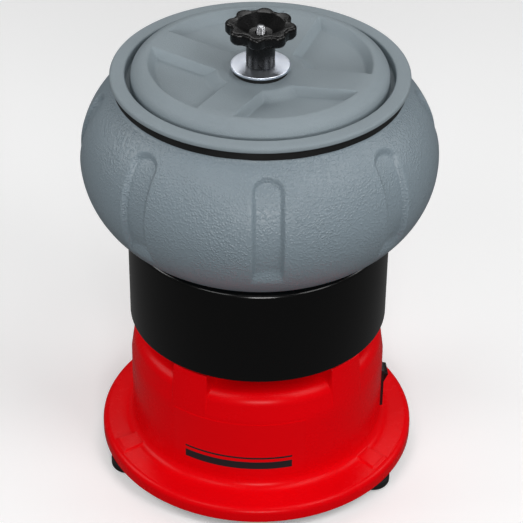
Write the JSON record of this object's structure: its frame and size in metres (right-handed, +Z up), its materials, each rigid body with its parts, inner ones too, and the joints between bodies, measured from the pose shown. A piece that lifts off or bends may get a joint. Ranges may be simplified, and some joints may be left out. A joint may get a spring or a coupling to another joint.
{
  "type": "vibratory rock tumbler",
  "caption": "Vibratory rock tumbler: a sprung black motor drum on a round red base carries a grey ring-shaped bowl with a ribbed lid and a star knob.",
  "frame": {"origin": "bottom centre: on the machine's vertical axis, at the surface that its feet stand on", "axes": "+Z up along the machine's vertical axis, -Y towards the front, where the label is, +X towards the side with the switch"},
  "size_m": [0.2348, 0.2348, 0.3281],
  "materials": {
    "red_plastic": "gloss moulded red",
    "dark_plastic": "moulded black, matte",
    "screw_steel": "dull zinc",
    "foot_rubber": "soft black rubber",
    "label_film": "printed film, red with two plain dark bands",
    "switch_plastic": "satin black nylon",
    "terminal_nylon": "natural nylon",
    "spring_steel": "drawn spring wire",
    "drum_plastic": "gloss black moulding",
    "plate_steel": "zinc-plated sheet",
    "cup_rubber": "moulded rubber",
    "cast_aluminium": "as die cast",
    "bearing_steel": "ground",
    "lamination_steel": "stacked silicon-steel sheet",
    "copper_wire": "enamelled wire",
    "rotor_aluminium": "turned",
    "shaft_steel": "ground",
    "weight_iron": "as cast",
    "zinc_steel": "zinc plated",
    "bright_zinc": "bright zinc",
    "pad_rubber": "sheet rubber",
    "bowl_plastic": "blue-grey moulding with a fine pebbled grain",
    "gasket_rubber": "black rubber",
    "lid_plastic": "blue-grey moulding, fine matte grain",
    "insert_brass": "turned brass",
    "knob_plastic": "gloss black moulding"
  },
  "bodies": {
    "base": {"base_shell": "red_plastic", "base_cover": "dark_plastic", "cover_screws": "screw_steel", "rubber_feet": "foot_rubber", "foot_screws": "screw_steel", "front_label": "label_film", "switch_housing": "switch_plastic", "cord_bushing": "switch_plastic", "terminal_block": "terminal_nylon", "suspension_springs": "spring_steel"},
    "rocker": {"switch_rocker": "switch_plastic"},
    "drum": {"drum_shell": "drum_plastic", "motor_plate": "plate_steel", "plate_screws": "screw_steel", "spring_cups": "cup_rubber", "lower_bracket": "cast_aluminium", "upper_bracket": "cast_aluminium", "bracket_bolts": "screw_steel", "ball_bearings": "bearing_steel", "stator_core": "lamination_steel", "stator_windings": "copper_wire", "centre_rod": "zinc_steel", "rod_nuts": "zinc_steel", "bowl_pad": "pad_rubber", "bowl": "bowl_plastic", "bowl_washer": "zinc_steel", "bowl_nut": "zinc_steel", "rim_gasket": "gasket_rubber"},
    "rotor": {"rotor_core": "rotor_aluminium", "motor_shaft": "shaft_steel", "lower_weight": "weight_iron", "upper_weight": "weight_iron", "weight_screws": "screw_steel"},
    "lid": {"lid": "lid_plastic", "rubber_washer": "gasket_rubber", "steel_washer": "bright_zinc"},
    "knob_thread": {"knob_insert": "insert_brass"},
    "knob": {"star_knob": "knob_plastic"}
  },
  "joints": [
    {"name": "suspension", "type": "slide", "parent": "base", "child": "drum", "axis": [0, 0, 1], "range_m": [-0.002, 0.002], "stiffness_N_per_m": 10000, "springref_m": 0.00287, "deforming": ["suspension_springs"]},
    {"name": "rotor_spin", "type": "hinge", "parent": "drum", "child": "rotor", "pos_m": [0, 0, 0.136], "axis": [0, 0, 1], "continuous": true},
    {"name": "lid_lift", "type": "slide", "parent": "drum", "child": "lid", "axis": [0, 0, 1], "range_m": [0, 0.06]},
    {"name": "knob_rise", "type": "slide", "parent": "lid", "child": "knob_thread", "axis": [0, 0, 1], "range_m": [0, 0.0281]},
    {"name": "knob_turn", "type": "hinge", "parent": "knob_thread", "child": "knob", "pos_m": [0, 0, 0.31], "axis": [0, 0, 1], "range_deg": [0, 10080]},
    {"name": "rocker_tilt", "type": "hinge", "parent": "base", "child": "rocker", "pos_m": [0.08659, 0.00605, 0.041], "axis": [0.0698, -0.9976, 0], "range_deg": [0, 22]}
  ],
  "couplings": [
    {"joint": "knob_rise", "follows": "knob_turn", "m_per_rad": 0.00015915}
  ]
}
